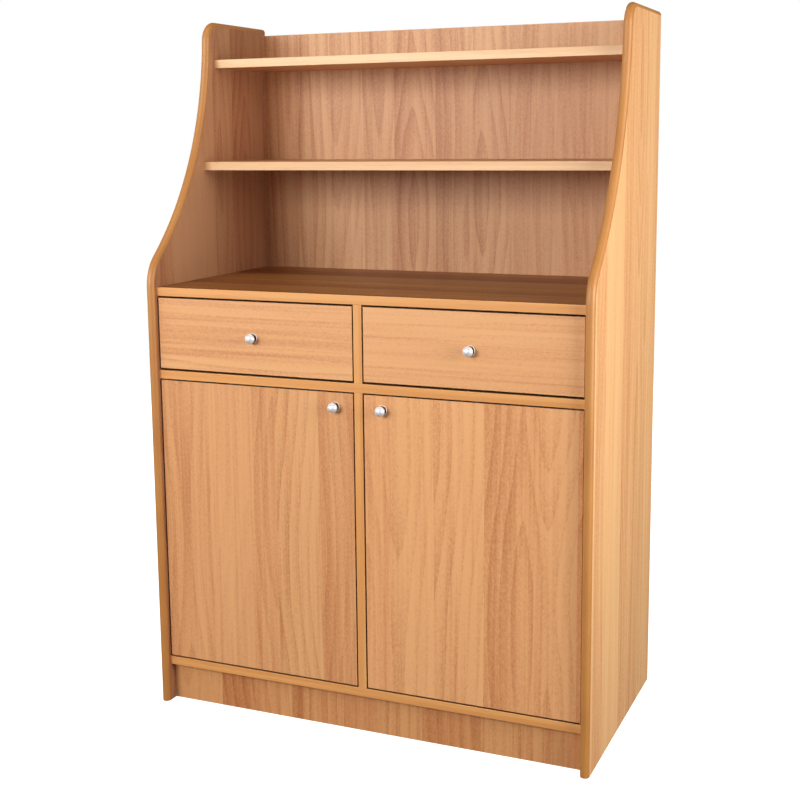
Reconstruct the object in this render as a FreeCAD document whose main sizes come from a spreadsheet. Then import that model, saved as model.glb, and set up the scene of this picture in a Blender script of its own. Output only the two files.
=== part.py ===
"""Waiter service station: a laminated-board cabinet with two drawers, two doors and an open hutch.

Millimetres, +Z up. The origin is on the floor, at the middle of the whole footprint, knobs included.
The front faces -Y. The right half mirrors the left half, so each left piece is built once.
"""
import FreeCAD, Part
import Sketcher
import math
import os

X_AXIS = FreeCAD.Vector(1, 0, 0)
Y_AXIS = FreeCAD.Vector(0, 1, 0)
Z_AXIS = FreeCAD.Vector(0, 0, 1)

doc = FreeCAD.newDocument("waiter_station")
sheet = doc.addObject("Spreadsheet::Sheet", "Sizes")


# --- driving dimensions -------------------------------------------------------------------------

class Size:
    """A length that holds its value and the sheet expression that it comes from."""

    def __init__(self, text, value):
        self.text = text
        self.value = value

    @staticmethod
    def of(thing):
        if isinstance(thing, Size):
            return thing
        return Size(str(thing), float(thing))

    def join(self, sign, other, value):
        return Size("(" + self.text + " " + sign + " " + other.text + ")", value)

    def __add__(self, other):
        other = Size.of(other)
        return self.join("+", other, self.value + other.value)

    def __sub__(self, other):
        other = Size.of(other)
        return self.join("-", other, self.value - other.value)

    def __mul__(self, other):
        other = Size.of(other)
        return self.join("*", other, self.value * other.value)

    def __truediv__(self, other):
        other = Size.of(other)
        return self.join("/", other, self.value / other.value)

    def __radd__(self, other):
        return Size.of(other) + self

    def __rsub__(self, other):
        return Size.of(other) - self

    def __rmul__(self, other):
        return Size.of(other) * self

    def __neg__(self):
        return Size.of(0) - self


def root(size):
    return Size("sqrt(" + size.text + ")", math.sqrt(size.value))


sheet_rows = []


def dimension(alias, value):
    """Write one driving dimension into the sheet and give it back as a Size."""
    sheet_rows.append(alias)
    row = str(len(sheet_rows))
    sheet.set("A" + row, alias.replace("_", " "))
    sheet.set("B" + row, str(value))
    sheet.setAlias("B" + row, alias)
    return Size("Sizes." + alias, float(value))


# the cabinet as a whole
width = dimension("overall_width", 940)
depth = dimension("overall_depth", 500)
height = dimension("overall_height", 1440)
board = dimension("board", 18)
setback = dimension("front_setback", 15)
joint_gap = dimension("bore_clearance", 0.05)
hole_end = dimension("bore_end_clearance", 0.5)

# the side panels' S-curved front edge and its rounded profile
side_top_depth = dimension("side_top_depth", 254)
shoulder_radius = dimension("shoulder_radius", 86)
top_corner_radius = dimension("top_corner_radius", 42)
tongue_thickness = dimension("tongue_thickness", 3)
tongue_depth = dimension("tongue_depth", 8)

# the boards between the sides
worktop_top = dimension("worktop_height", 892)
drawer_opening = dimension("drawer_opening_height", 154)
plinth_height = dimension("plinth_height", 80)
plinth_recess = dimension("plinth_recess", 31)
inner_shelf_rise = dimension("inner_shelf_above_bottom", 302)
hutch_back_drop = dimension("hutch_back_below_top", 16)
lower_shelf_rise = dimension("lower_hutch_shelf_above_worktop", 250)
upper_shelf_drop = dimension("upper_hutch_shelf_below_top", 80)
lower_shelf_depth = dimension("lower_hutch_shelf_depth", 268)
upper_shelf_depth = dimension("upper_hutch_shelf_depth", 211)

# the thin back sheet behind the drawers and the doors
sheet_thickness = dimension("back_sheet_thickness", 5)
sheet_inset = dimension("back_sheet_inset", 12)
sheet_groove = dimension("back_groove_depth", 7)
sheet_clearance = dimension("back_sheet_clearance", 0.2)

# gaps around the inset fronts
side_gap = dimension("front_side_gap", 2.5)
drawer_gap_top = dimension("drawer_gap_top", 3)
drawer_gap_bottom = dimension("drawer_gap_bottom", 4)
door_gap_top = dimension("door_gap_top", 2)
door_gap_bottom = dimension("door_gap_bottom", 3)

# drawer boxes
box_board = dimension("box_board", 12)
box_height = dimension("box_height", 100)
box_length = dimension("box_length", 400)
box_floor = dimension("box_floor_thickness", 4)
box_floor_rise = dimension("box_floor_rise", 8)
box_groove = dimension("box_groove_depth", 6)
floor_clearance = dimension("box_floor_clearance", 0.2)

# roller runners
runner_space = dimension("runner_space", 12.5)
steel = dimension("runner_steel", 1.2)
channel_height = dimension("channel_height", 30)
channel_width = dimension("channel_width", 11)
channel_length = dimension("channel_length", 370)
channel_rise = dimension("channel_rise", 8)
channel_start = dimension("channel_front_clearance", 3)
roller_radius = dimension("roller_radius", 11)
roller_width = dimension("roller_width", 6)
roller_stand_off = dimension("roller_stand_off", 3.6)
axle_radius = dimension("roller_axle_radius", 3)
running_gap = dimension("running_gap", 0.3)
drawer_travel = dimension("drawer_travel", 300)
roller_end = dimension("roller_from_channel_end", 14)
stop_gap = dimension("roller_stop_gap", 3)
runner_web = dimension("drawer_runner_web", 22)

# hidden door pivots
pivot_from_side = dimension("pivot_from_side", 15)
pivot_from_face = dimension("pivot_from_face", 7)
pin_radius = dimension("pivot_pin_radius", 2.5)
insert_radius = dimension("pivot_insert_radius", 4)
insert_length = dimension("pivot_insert_length", 25)
collar_radius = dimension("pivot_collar_radius", 6)
collar_thickness = dimension("pivot_collar_thickness", 1.5)
bush_radius = dimension("bush_radius", 4.5)
bush_length = dimension("bush_length", 10)

# knobs and their screws
knob_base_radius = dimension("knob_base_radius", 10.2)
knob_base_thickness = dimension("knob_base_thickness", 2.4)
knob_neck_radius = dimension("knob_neck_radius", 4.4)
knob_cap_start = dimension("knob_cap_start", 10)
knob_cap_radius = dimension("knob_cap_radius", 10)
knob_rim_end = dimension("knob_rim_end", 14.5)
knob_projection = dimension("knob_projection", 20)
knob_flat_radius = dimension("knob_flat_radius", 3)
knob_dome_radius = dimension("knob_dome_radius", 9)
knob_screw_radius = dimension("knob_screw_radius", 2)
knob_screw_reach = dimension("knob_screw_reach", 10)
door_knob_inset = dimension("door_knob_from_edge", 39)
door_knob_drop = dimension("door_knob_from_top", 29)

# magnetic catches
catch_length = dimension("catch_length", 40)
catch_depth = dimension("catch_depth", 14)
catch_height = dimension("catch_height", 13)
catch_from_divider = dimension("catch_from_divider", 14)
strike_thickness = dimension("strike_thickness", 1.6)
strike_height = dimension("strike_height", 12)

# fittings in the boards
cam_radius = dimension("cam_radius", 7.5)
cam_depth = dimension("cam_depth", 12.5)
cam_from_end = dimension("cam_from_board_end", 34)
cam_from_front = dimension("cam_from_board_front", 50)
bolt_radius = dimension("cam_bolt_radius", 3)
bolt_thread_radius = dimension("cam_bolt_thread_radius", 2.5)
bolt_thread = dimension("cam_bolt_thread_length", 11)
dowel_radius = dimension("dowel_radius", 4)
dowel_in_face = dimension("dowel_depth_in_face", 10)
dowel_in_end = dimension("dowel_depth_in_end", 20)
dowel_from_front = dimension("dowel_from_board_front", 110)
upper_dowel_inset = dimension("upper_divider_dowel_inset", 80)
lower_dowel_inset = dimension("lower_divider_dowel_inset", 140)
small_dowel_radius = dimension("drawer_dowel_radius", 3)
shelf_pin_radius = dimension("shelf_pin_radius", 2.5)
shelf_pin_reach = dimension("shelf_pin_reach", 8)
shelf_pin_pitch = dimension("shelf_pin_pitch", 64)
shelf_pin_from_edge = dimension("shelf_pin_from_edge", 60)
shelf_side_gap = dimension("inner_shelf_side_gap", 1)
shelf_front_space = dimension("inner_shelf_front_space", 25)
screw_radius = dimension("screw_radius", 1.75)
screw_head_radius = dimension("screw_head_radius", 3.5)
screw_head = dimension("screw_head_thickness", 2)
screw_reach = dimension("runner_screw_reach", 8)
box_screw_reach = dimension("box_screw_reach", 9)
box_joint_low = dimension("box_joint_low", 35)
box_joint_high = dimension("box_joint_high", 80)
screw_rise = dimension("channel_screw_rise", 22.5)
screw_edge = dimension("screw_head_from_web_edge", 1.5)
runner_screw_inset = dimension("runner_screw_from_end", 56)
rivet_radius = dimension("rivet_head_radius", 5)
rivet_head = dimension("rivet_head_thickness", 0.8)
doc.recompute()


# --- places that follow from the dimensions -----------------------------------------------------

overhang = (knob_projection - setback) / 2
rear = overhang + depth / 2
front = overhang + setback - depth / 2
wall = width / 2 - board
worktop_under = worktop_top - board
middle_top = worktop_under - drawer_opening
middle_under = middle_top - board
bottom_top = plinth_height + board
inner_shelf_top = bottom_top + inner_shelf_rise
hutch_back_top = height - hutch_back_drop
lower_shelf_top = worktop_top + lower_shelf_rise
upper_shelf_top = height - upper_shelf_drop
sheet_front = rear - sheet_inset - sheet_thickness
hutch_rear = rear - board
divider_face = board / 2
bay_width = wall - divider_face
bay_middle = divider_face + bay_width / 2
fronts_rear = front + board

channel_low = middle_top + channel_rise
roller_z = channel_low + steel + running_gap + roller_radius
flange_low = roller_z + roller_radius + running_gap
channel_front = fronts_rear + channel_start
front_roller_y = channel_front + roller_end
rear_roller_y = front_roller_y + drawer_travel + roller_radius * 2 + stop_gap
box_low = flange_low
box_rear = fronts_rear + box_length
box_top = box_low + box_height

pivot_x = -wall + pivot_from_side
pivot_y = front + pivot_from_face
door_low = bottom_top + door_gap_bottom
door_top = middle_under - door_gap_top
drawer_low = middle_top + drawer_gap_bottom
drawer_high = worktop_under - drawer_gap_top


# --- building blocks ----------------------------------------------------------------------------

nodes = []


def unique(stem):
    """A document name that no object has yet."""
    count = 1
    while doc.getObject(stem + "_" + str(count)):
        count += 1
    return stem + "_" + str(count)


def set_size(feature, prop, size):
    feature.setExpression(prop, Size.of(size).text)


def place(feature, at):
    for axis, size in zip("xyz", at):
        set_size(feature, "Placement.Base." + axis, size)


def node(feature, label):
    """Name a finished sub-part, so that it is written to its own file."""
    feature.Label = label
    nodes.append(feature)
    return feature


def box(low, high):
    """A box from its low corner to its high corner."""
    feature = doc.addObject("Part::Box", unique("box"))
    for prop, start, end in zip(("Length", "Width", "Height"), low, high):
        set_size(feature, prop, Size.of(end) - start)
    place(feature, low)
    return feature


def cylinder(radius, length, start, axis):
    """A cylinder that starts at a point and runs along an axis."""
    feature = doc.addObject("Part::Cylinder", unique("round"))
    feature.Placement.Rotation = FreeCAD.Rotation(Z_AXIS, axis)
    set_size(feature, "Radius", radius)
    set_size(feature, "Height", length)
    place(feature, start)
    return feature


def mirrored(source, plane_x=0):
    """The same piece on the other side of a plane across X."""
    feature = doc.addObject("Part::Mirroring", unique("mirror"))
    feature.Source = source
    feature.Normal = X_AXIS
    set_size(feature, "Base.x", plane_x)
    return feature


def both_sides(pieces):
    return pieces + [mirrored(piece) for piece in pieces]


def fuse(pieces):
    feature = doc.addObject("Part::MultiFuse", unique("fuse"))
    feature.Shapes = pieces
    return feature


def group(pieces):
    """Separate solids in one sub-part."""
    feature = doc.addObject("Part::Compound", unique("group"))
    feature.Links = pieces
    return feature


def cut(base, tools):
    feature = doc.addObject("Part::Cut", unique("cut"))
    feature.Base = base
    feature.Tool = fuse(tools) if len(tools) > 1 else tools[0]
    return feature


def screw(start, inward, shank, reach, head_radius, head):
    """A screw whose head lies outside a face, at start, and whose shank goes inward."""
    shank_piece = cylinder(shank, reach, start, inward)
    head_piece = cylinder(head_radius, head, start, -inward)
    return fuse([shank_piece, head_piece])


# --- sketches -----------------------------------------------------------------------------------

def new_body(stem, at):
    """A body whose own X and Y point along -X and -Y of the cabinet, so that sizes stay positive."""
    body = doc.addObject("PartDesign::Body", unique(stem))
    body.Placement.Rotation = FreeCAD.Rotation(Z_AXIS, 180)
    place(body, at)
    return body


def new_sketch(body, plane):
    sketch = body.newObject("Sketcher::SketchObject", unique("outline"))
    planes = [item for item in body.Origin.OriginFeatures if item.Role == plane]
    sketch.AttachmentSupport = [(planes[0], "")]
    sketch.MapMode = "FlatFace"
    return sketch


def pin_point(sketch, edge, end, point):
    """Fix the end of an edge at a point, by its distances from the sketch's origin."""
    for kind, axis_line, size in (("DistanceX", -2, point[0]), ("DistanceY", -1, point[1])):
        size = Size.of(size)
        if size.value == 0:
            sketch.addConstraint(Sketcher.Constraint("PointOnObject", edge, end, axis_line))
            continue
        index = sketch.addConstraint(Sketcher.Constraint(kind, -1, 1, edge, end, size.value))
        sketch.setExpression("Constraints[" + str(index) + "]", size.text)


def arc_between(start, end, radius, left):
    """The short arc between two points, with its centre on the left or the right of the way."""
    x0, y0 = Size.of(start[0]).value, Size.of(start[1]).value
    x1, y1 = Size.of(end[0]).value, Size.of(end[1]).value
    half = math.hypot(x1 - x0, y1 - y0) / 2
    reach = math.sqrt(max(radius.value ** 2 - half ** 2, 0)) * (1 if left else -1)
    middle_x = (x0 + x1) / 2 - (y1 - y0) / (2 * half) * reach
    middle_y = (y0 + y1) / 2 + (x1 - x0) / (2 * half) * reach
    centre = FreeCAD.Vector(middle_x, middle_y, 0)
    circle = Part.Circle(centre, Z_AXIS, radius.value)
    first = math.atan2(y0 - middle_y, x0 - middle_x)
    last = math.atan2(y1 - middle_y, x1 - middle_x)
    if left:
        return Part.ArcOfCircle(circle, first, last), 1, 2
    return Part.ArcOfCircle(circle, last, first), 2, 1


def draw(sketch, points, arcs, closed):
    """Lines and arcs through the points. arcs: index of the first point -> (radius, centre on left)."""
    count = len(points) if closed else len(points) - 1
    for index in range(count):
        start = points[index]
        end = points[(index + 1) % len(points)]
        if index in arcs:
            radius, left = arcs[index]
            shape, first_end, last_end = arc_between(start, end, radius, left)
            edge = sketch.addGeometry(shape, False)
            spot = sketch.addConstraint(Sketcher.Constraint("Radius", edge, radius.value))
            sketch.setExpression("Constraints[" + str(spot) + "]", radius.text)
        else:
            first_end, last_end = 1, 2
            corners = [FreeCAD.Vector(Size.of(u).value, Size.of(v).value, 0) for u, v in (start, end)]
            edge = sketch.addGeometry(Part.LineSegment(corners[0], corners[1]), False)
        pin_point(sketch, edge, first_end, start)
        if index:
            sketch.addConstraint(Sketcher.Constraint("Coincident", previous[0], previous[1], edge, first_end))
        previous = (edge, last_end)
    if closed:
        sketch.addConstraint(Sketcher.Constraint("Coincident", previous[0], previous[1], 0, 1))
    else:
        pin_point(sketch, previous[0], previous[1], points[-1])


def pad(body, sketch, length):
    feature = body.newObject("PartDesign::Pad", unique("pad"))
    feature.Profile = sketch
    set_size(feature, "Length", length)
    return feature


# --- side panels and their rounded edge profiles ------------------------------------------------

nose_radius = board / 2


def s_curve(offset):
    """The side's outline, moved in from its outer edge: (forward from the rear, up) points and arcs.

    The front rises straight to the worktop, turns in over the shoulder, follows one long hollow arc
    that ends upright at the very top, and rounds the top corner.
    """
    run = depth - shoulder_radius - side_top_depth
    drop = height - worktop_top
    spread = run * run + drop * drop - shoulder_radius * shoulder_radius
    hollow = spread / (2 * (run + shoulder_radius))
    hollow_y = side_top_depth + hollow
    shoulder_y = depth - shoulder_radius
    low_reach = hollow + shoulder_radius
    high_reach = hollow + top_corner_radius
    corner_y = hollow_y - root(high_reach * high_reach - top_corner_radius * top_corner_radius)
    small = (shoulder_radius - offset) / low_reach
    large = (hollow + offset) / high_reach
    shoulder_end = (shoulder_y + (hollow_y - shoulder_y) * small, worktop_top + drop * small)
    hollow_end = (hollow_y - (hollow_y - corner_y) * large, height - top_corner_radius * large)
    points = [(depth - offset, 0), (depth - offset, worktop_top), shoulder_end, hollow_end,
              (corner_y, height - offset), (0, height - offset)]
    arcs = {1: (shoulder_radius - offset, True), 2: (hollow + offset, False),
            3: (top_corner_radius - offset, True)}
    return points, arcs


def side_slab(offset, thickness, inset):
    """A flat slab with the side's outline, as thick as asked, inset from the side's inner face."""
    body = new_body("slab", (-wall - inset, rear, 0))
    sketch = new_sketch(body, "YZ_Plane")
    points, arcs = s_curve(offset)
    draw(sketch, [(0, 0)] + points, {index + 1: arc for index, arc in arcs.items()}, True)
    pad(body, sketch, thickness)
    return body


def edge_band(thickness, reach):
    """The strip just inside the board's front and top edge, for the profile's tongue or its groove."""
    inset = (board - thickness) / 2
    whole = side_slab(nose_radius, thickness, inset)
    return cut(whole, [side_slab(nose_radius + reach, thickness, inset)])


def rounded_nose():
    """The half-round part of the profile, swept along the board's edge."""
    body = new_body("nose", (-wall, rear, 0))
    path = new_sketch(body, "YZ_Plane")
    points, arcs = s_curve(nose_radius)
    draw(path, points, arcs, False)
    section = new_sketch(body, "XY_Plane")
    base = depth - nose_radius
    corners = [(0, base), (board, base), (nose_radius, depth)]
    draw(section, corners, {1: (nose_radius, True), 2: (nose_radius, True)}, True)
    doc.recompute()
    sweep = body.newObject("PartDesign::AdditivePipe", unique("sweep"))
    sweep.Profile = section
    sweep.Spine = (path, ["Edge" + str(index + 1) for index in range(len(points) - 1)])
    body.Tip = sweep
    return body


side_tools = []
left_profile = node(fuse([rounded_nose(), edge_band(tongue_thickness, tongue_depth)]), "left_edge_profile")
node(mirrored(left_profile), "right_edge_profile")
side_tools.append(edge_band(tongue_thickness + 2 * joint_gap, tongue_depth + hole_end))


# --- joints between the boards and the sides ----------------------------------------------------

cams = []
bolts = []
dowels = []


def cam_joint(bolt_y, bolt_z, cam_axis):
    """A cam disc in a board's end and its bolt in the side. Gives the board's bores back."""
    cam_x = -wall + cam_from_end
    face = (cam_x, bolt_y - cam_axis.y * board / 2, bolt_z - cam_axis.z * board / 2)
    end = (-wall, bolt_y, bolt_z)
    channel = cylinder(bolt_radius + joint_gap, cam_from_end, end, X_AXIS)
    recess = cylinder(bolt_radius, bolt_radius / 2, face, cam_axis)
    cams.append(cut(cylinder(cam_radius, cam_depth, face, cam_axis), [channel, recess]))
    shaft = cylinder(bolt_radius, cam_from_end, end, X_AXIS)
    thread = cylinder(bolt_thread_radius, bolt_thread, end, -X_AXIS)
    bolts.append(fuse([shaft, thread]))
    side_tools.append(cylinder(bolt_thread_radius + joint_gap, bolt_thread + hole_end, end, -X_AXIS))
    cam_bore = cylinder(cam_radius + joint_gap, cam_depth + hole_end, face, cam_axis)
    return [cam_bore, cylinder(bolt_radius + joint_gap, cam_from_end, end, X_AXIS)]


def dowel_joint(y, z):
    """A dowel from a board's end into the side. Gives the board's bore back."""
    end = (-wall, y, z)
    dowels.append(cylinder(dowel_radius, dowel_in_face + dowel_in_end, (-wall - dowel_in_face, y, z), X_AXIS))
    side_tools.append(cylinder(dowel_radius + joint_gap, dowel_in_face + hole_end, end, -X_AXIS))
    return [cylinder(dowel_radius + joint_gap, dowel_in_end + hole_end, end, X_AXIS)]


def joined_board(label, low, high, cam_spots, dowel_spots, cam_axis=Z_AXIS, tools=()):
    """A board between the sides, with its cams, bolts and dowels at both ends."""
    bores = []
    for y, z in cam_spots:
        bores += cam_joint(y, z, cam_axis)
    for y, z in dowel_spots:
        bores += dowel_joint(y, z)
    bores = fuse(bores)
    return node(cut(box(low, high), [bores, mirrored(bores)] + list(tools)), label)


def spots(near, far, inset, z):
    """Two places on one board, as far in from its front edge as from its rear edge."""
    return [(near + inset, z), (far - inset, z)]


dowels_upright = []


def upright_dowel(y, joint_z, end_axis):
    """A dowel at a divider's end. Gives back the bore in the divider and the bore in the panel."""
    start = (0, y, joint_z)
    in_panel = (0, y, joint_z - end_axis.z * dowel_in_face)
    dowels_upright.append(cylinder(dowel_radius, dowel_in_face + dowel_in_end, in_panel, end_axis))
    divider_bore = cylinder(dowel_radius + joint_gap, dowel_in_end + hole_end, start, end_axis)
    panel_bore = cylinder(dowel_radius + joint_gap, dowel_in_face + hole_end, start, -end_axis)
    return divider_bore, panel_bore


upper_rows = (front + upper_dowel_inset, sheet_front - upper_dowel_inset)
lower_rows = (front + lower_dowel_inset, sheet_front - lower_dowel_inset)
under_worktop = [upright_dowel(y, worktop_under, -Z_AXIS) for y in upper_rows]
over_middle = [upright_dowel(y, middle_top, Z_AXIS) for y in upper_rows]
under_middle = [upright_dowel(y, middle_under, -Z_AXIS) for y in lower_rows]
over_bottom = [upright_dowel(y, bottom_top, Z_AXIS) for y in lower_rows]


# --- door pivots --------------------------------------------------------------------------------

def pivot(door_edge, panel_face, gap, axis):
    """One hidden pivot: the pin and the bush, and the bores in the door and in the panel."""
    at_edge = (pivot_x, pivot_y, door_edge)
    at_face = (pivot_x, pivot_y, panel_face)
    collar = cylinder(collar_radius, collar_thickness, at_edge, -axis)
    pin = fuse([cylinder(insert_radius, insert_length, at_edge, -axis), collar,
                cylinder(pin_radius, gap + bush_length - 2 * hole_end, at_edge, axis)])
    flange = cylinder(bush_radius + pin_radius, gap - running_gap, at_face, -axis)
    sleeve = fuse([cylinder(bush_radius, bush_length, at_face, axis), flange])
    hole_start = (pivot_x, pivot_y, panel_face - axis.z * gap)
    bush = cut(sleeve, [cylinder(pin_radius + joint_gap, bush_length + gap * 2, hole_start, axis)])
    door_bores = [cylinder(insert_radius + joint_gap, insert_length + hole_end, at_edge, -axis),
                  cylinder(collar_radius + joint_gap, collar_thickness, at_edge, -axis)]
    panel_bore = cylinder(bush_radius + joint_gap, bush_length + hole_end, at_face, axis)
    return pin, bush, door_bores, panel_bore


top_pin, top_bush, top_door_bores, top_panel_bore = pivot(door_top, middle_under, door_gap_top, Z_AXIS)
low_pin, low_bush, low_door_bores, low_panel_bore = pivot(door_low, bottom_top, door_gap_bottom, -Z_AXIS)
node(group(both_sides([top_bush, low_bush])), "pivot_bushes")


# --- carcass boards -----------------------------------------------------------------------------

def sheet_slot(low_z, high_z):
    """The groove across a panel for the thin back sheet."""
    low = (-wall, sheet_front - sheet_clearance / 2, low_z)
    high = (wall, sheet_front + sheet_thickness + sheet_clearance / 2, high_z)
    return box(low, high)


worktop_mid = worktop_top - board / 2
worktop_groove = sheet_slot(worktop_under, worktop_under + sheet_groove)
joined_board("worktop", (-wall, front, worktop_under), (wall, rear, worktop_top),
             spots(front, rear, cam_from_front, worktop_mid),
             spots(front, rear, dowel_from_front, worktop_mid),
             tools=[worktop_groove] + [pair[1] for pair in under_worktop])

middle_mid = middle_top - board / 2
joined_board("middle_panel", (-wall, front, middle_under), (wall, sheet_front, middle_top),
             spots(front, sheet_front, cam_from_front, middle_mid),
             spots(front, sheet_front, dowel_from_front, middle_mid),
             tools=[pair[1] for pair in over_middle + under_middle] + both_sides([top_panel_bore]))

bottom_mid = bottom_top - board / 2
bottom_groove = sheet_slot(bottom_top - sheet_groove, bottom_top)
joined_board("bottom_panel", (-wall, front, plinth_height), (wall, rear, bottom_top),
             spots(front, rear, cam_from_front, bottom_mid),
             spots(front, rear, dowel_from_front, bottom_mid),
             tools=[bottom_groove] + [pair[1] for pair in over_bottom] + both_sides([low_panel_bore]))

plinth_front = overhang + plinth_recess - depth / 2
plinth_mid = plinth_front + board / 2
plinth_low_bores = dowel_joint(plinth_mid, plinth_height / 4)
plinth_bores = fuse(plinth_low_bores + dowel_joint(plinth_mid, plinth_height * 3 / 4))
plinth_board = box((-wall, plinth_front, 0), (wall, plinth_front + board, plinth_height))
node(cut(plinth_board, [plinth_bores, mirrored(plinth_bores)]), "plinth")

hutch_mid = rear - board / 2
hutch_cams = [(hutch_mid, worktop_top + cam_from_front), (hutch_mid, hutch_back_top - cam_from_front)]
hutch_dowels = [(hutch_mid, worktop_top + dowel_from_front), (hutch_mid, hutch_back_top - dowel_from_front)]
joined_board("hutch_back", (-wall, hutch_rear, worktop_top), (wall, rear, hutch_back_top),
             hutch_cams, hutch_dowels, cam_axis=-Y_AXIS)

for label, top, reach in (("lower_hutch_shelf", lower_shelf_top, lower_shelf_depth),
                          ("upper_hutch_shelf", upper_shelf_top, upper_shelf_depth)):
    shelf_front = hutch_rear - reach
    shelf_mid = top - board / 2
    joined_board(label, (-wall, shelf_front, top - board), (wall, hutch_rear, top),
                 spots(shelf_front, hutch_rear, cam_from_front, shelf_mid),
                 [(shelf_front + reach / 2, shelf_mid)])

back_reach = wall + sheet_groove - sheet_clearance
node(box((-back_reach, sheet_front, bottom_top - sheet_groove),
         (back_reach, sheet_front + sheet_thickness, worktop_under + sheet_groove - sheet_clearance)),
     "lower_back_sheet")
side_tools.append(box(
    (-wall - sheet_groove, sheet_front - sheet_clearance / 2, bottom_top - sheet_groove),
    (-wall, sheet_front + sheet_thickness + sheet_clearance / 2, worktop_under + sheet_groove)))


# --- inner shelves on their pins ----------------------------------------------------------------

shelf_low_y = fronts_rear + shelf_front_space
pin_z = inner_shelf_top - board - shelf_pin_radius
pin_rows = (shelf_low_y + shelf_pin_from_edge, sheet_front - shelf_pin_from_edge)
divider_tools = []
pins = []
for y in pin_rows:
    pin = cylinder(shelf_pin_radius, 2 * shelf_pin_reach, (-wall - shelf_pin_reach, y, pin_z), X_AXIS)
    pins += [pin, mirrored(pin, -bay_middle)]
    for step in range(-2, 3):
        spot = (-wall, y, pin_z + shelf_pin_pitch * step)
        hole = cylinder(shelf_pin_radius + joint_gap, shelf_pin_reach, spot, -X_AXIS)
        side_tools.append(hole)
        divider_tools.append(mirrored(hole, -bay_middle))
node(group(both_sides(pins)), "shelf_pins")
inner_shelf = node(box((-wall + shelf_side_gap, shelf_low_y, inner_shelf_top - board),
                       (-divider_face - shelf_side_gap, sheet_front, inner_shelf_top)), "left_inner_shelf")
node(mirrored(inner_shelf), "right_inner_shelf")


# --- runners, rollers and their screws ----------------------------------------------------------

def at_wall(distance):
    """X of a plane this far into the left bay from its outer wall."""
    return -wall + distance


def at_both_walls(piece):
    return [piece, mirrored(piece, -bay_middle)]


def rivet(start_x, y, axis):
    """A roller's riveted axle: a boss against the steel, the shaft, and the head beyond the roller."""
    roller_near = at_wall(roller_stand_off) if axis.x > 0 else at_wall(roller_stand_off + roller_width)
    boss_length = (roller_near - start_x) * axis.x - running_gap
    shaft_length = boss_length + roller_width + running_gap * 2
    head_x = start_x + axis.x * shaft_length
    return [cylinder(rivet_radius, boss_length, (start_x, y, roller_z), axis),
            cylinder(axle_radius, shaft_length + rivet_head, (start_x, y, roller_z), axis),
            cylinder(rivet_radius, rivet_head, (head_x, y, roller_z), axis)]


def roller(y):
    start = (at_wall(roller_stand_off), y, roller_z)
    bore = cylinder(axle_radius + joint_gap, roller_width, start, X_AXIS)
    return cut(cylinder(roller_radius, roller_width, start, X_AXIS), [bore])


channel_rear = channel_front + channel_length
channel_high = channel_low + channel_height
web_holes = []
runner_screws = []
for y in (channel_front + runner_screw_inset, channel_rear - runner_screw_inset):
    spot = (at_wall(steel), y, channel_low + screw_rise)
    reach = steel + screw_reach
    runner_screws.append(screw(spot, -X_AXIS, screw_radius, reach, screw_head_radius, screw_head))
    web_holes.append(cylinder(screw_radius + joint_gap, steel, spot, -X_AXIS))
    wall_spot = (-wall, y, channel_low + screw_rise)
    wall_hole = cylinder(screw_radius + joint_gap, screw_reach + joint_gap, wall_spot, -X_AXIS)
    side_tools.append(wall_hole)
    divider_tools.append(mirrored(wall_hole, -bay_middle))
channel_corner = (at_wall(0), channel_front, channel_low)
far_corner = (at_wall(channel_width), channel_rear, channel_high)
channel = fuse([
    box(channel_corner, (at_wall(steel), channel_rear, channel_high)),
    box(channel_corner, (at_wall(channel_width), channel_rear, channel_low + steel)),
    box((at_wall(0), channel_front, channel_high - steel), far_corner),
] + rivet(at_wall(0), front_roller_y, X_AXIS))
cabinet_runners = node(group(at_both_walls(cut(channel, web_holes))), "left_cabinet_runners")
node(mirrored(cabinet_runners), "right_cabinet_runners")
left_runner_screws = [piece for item in runner_screws for piece in at_both_walls(item)]
node(group(both_sides(left_runner_screws)), "runner_screws")
for end, y in (("front", front_roller_y), ("rear", rear_roller_y)):
    pair = node(group(at_both_walls(roller(y))), "left_" + end + "_rollers")
    node(mirrored(pair), "right_" + end + "_rollers")

side_x = at_wall(runner_space)
web_x = at_wall(runner_space - steel)
drawer_screws = []
side_bores = []
drawer_web_holes = []
for y in (fronts_rear + runner_screw_inset, box_rear - runner_screw_inset):
    spot = (web_x, y, flange_low + runner_web - screw_head_radius - screw_edge)
    reach = steel + box_screw_reach
    drawer_screws.append(screw(spot, X_AXIS, screw_radius, reach, screw_head_radius, screw_head))
    side_bores.append(cylinder(screw_radius + joint_gap, reach + joint_gap, spot, X_AXIS))
    drawer_web_holes.append(cylinder(screw_radius + joint_gap, steel, spot, X_AXIS))
tab_low = (web_x, rear_roller_y - roller_radius, roller_z - rivet_radius)
tab_high = (side_x, rear_roller_y + roller_radius, flange_low)
drawer_runner = fuse([
    box((web_x, fronts_rear, flange_low), (side_x, box_rear, flange_low + runner_web)),
    box((at_wall(roller_stand_off), fronts_rear, flange_low), (side_x, box_rear, flange_low + steel)),
    box(tab_low, tab_high),
] + rivet(web_x, rear_roller_y, -X_AXIS))
drawer_runners = node(group(at_both_walls(cut(drawer_runner, drawer_web_holes))), "left_drawer_runners")
node(mirrored(drawer_runners), "right_drawer_runners")


# --- drawer boxes -------------------------------------------------------------------------------

side_inner_x = at_wall(runner_space + box_board)
inner_side_face = -divider_face - runner_space - box_board
floor_low = box_low + box_floor_rise
floor_high = floor_low + box_floor
floor_reach = box_groove - floor_clearance
groove_low = floor_low - floor_clearance / 2
groove_high = floor_high + floor_clearance / 2

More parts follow.
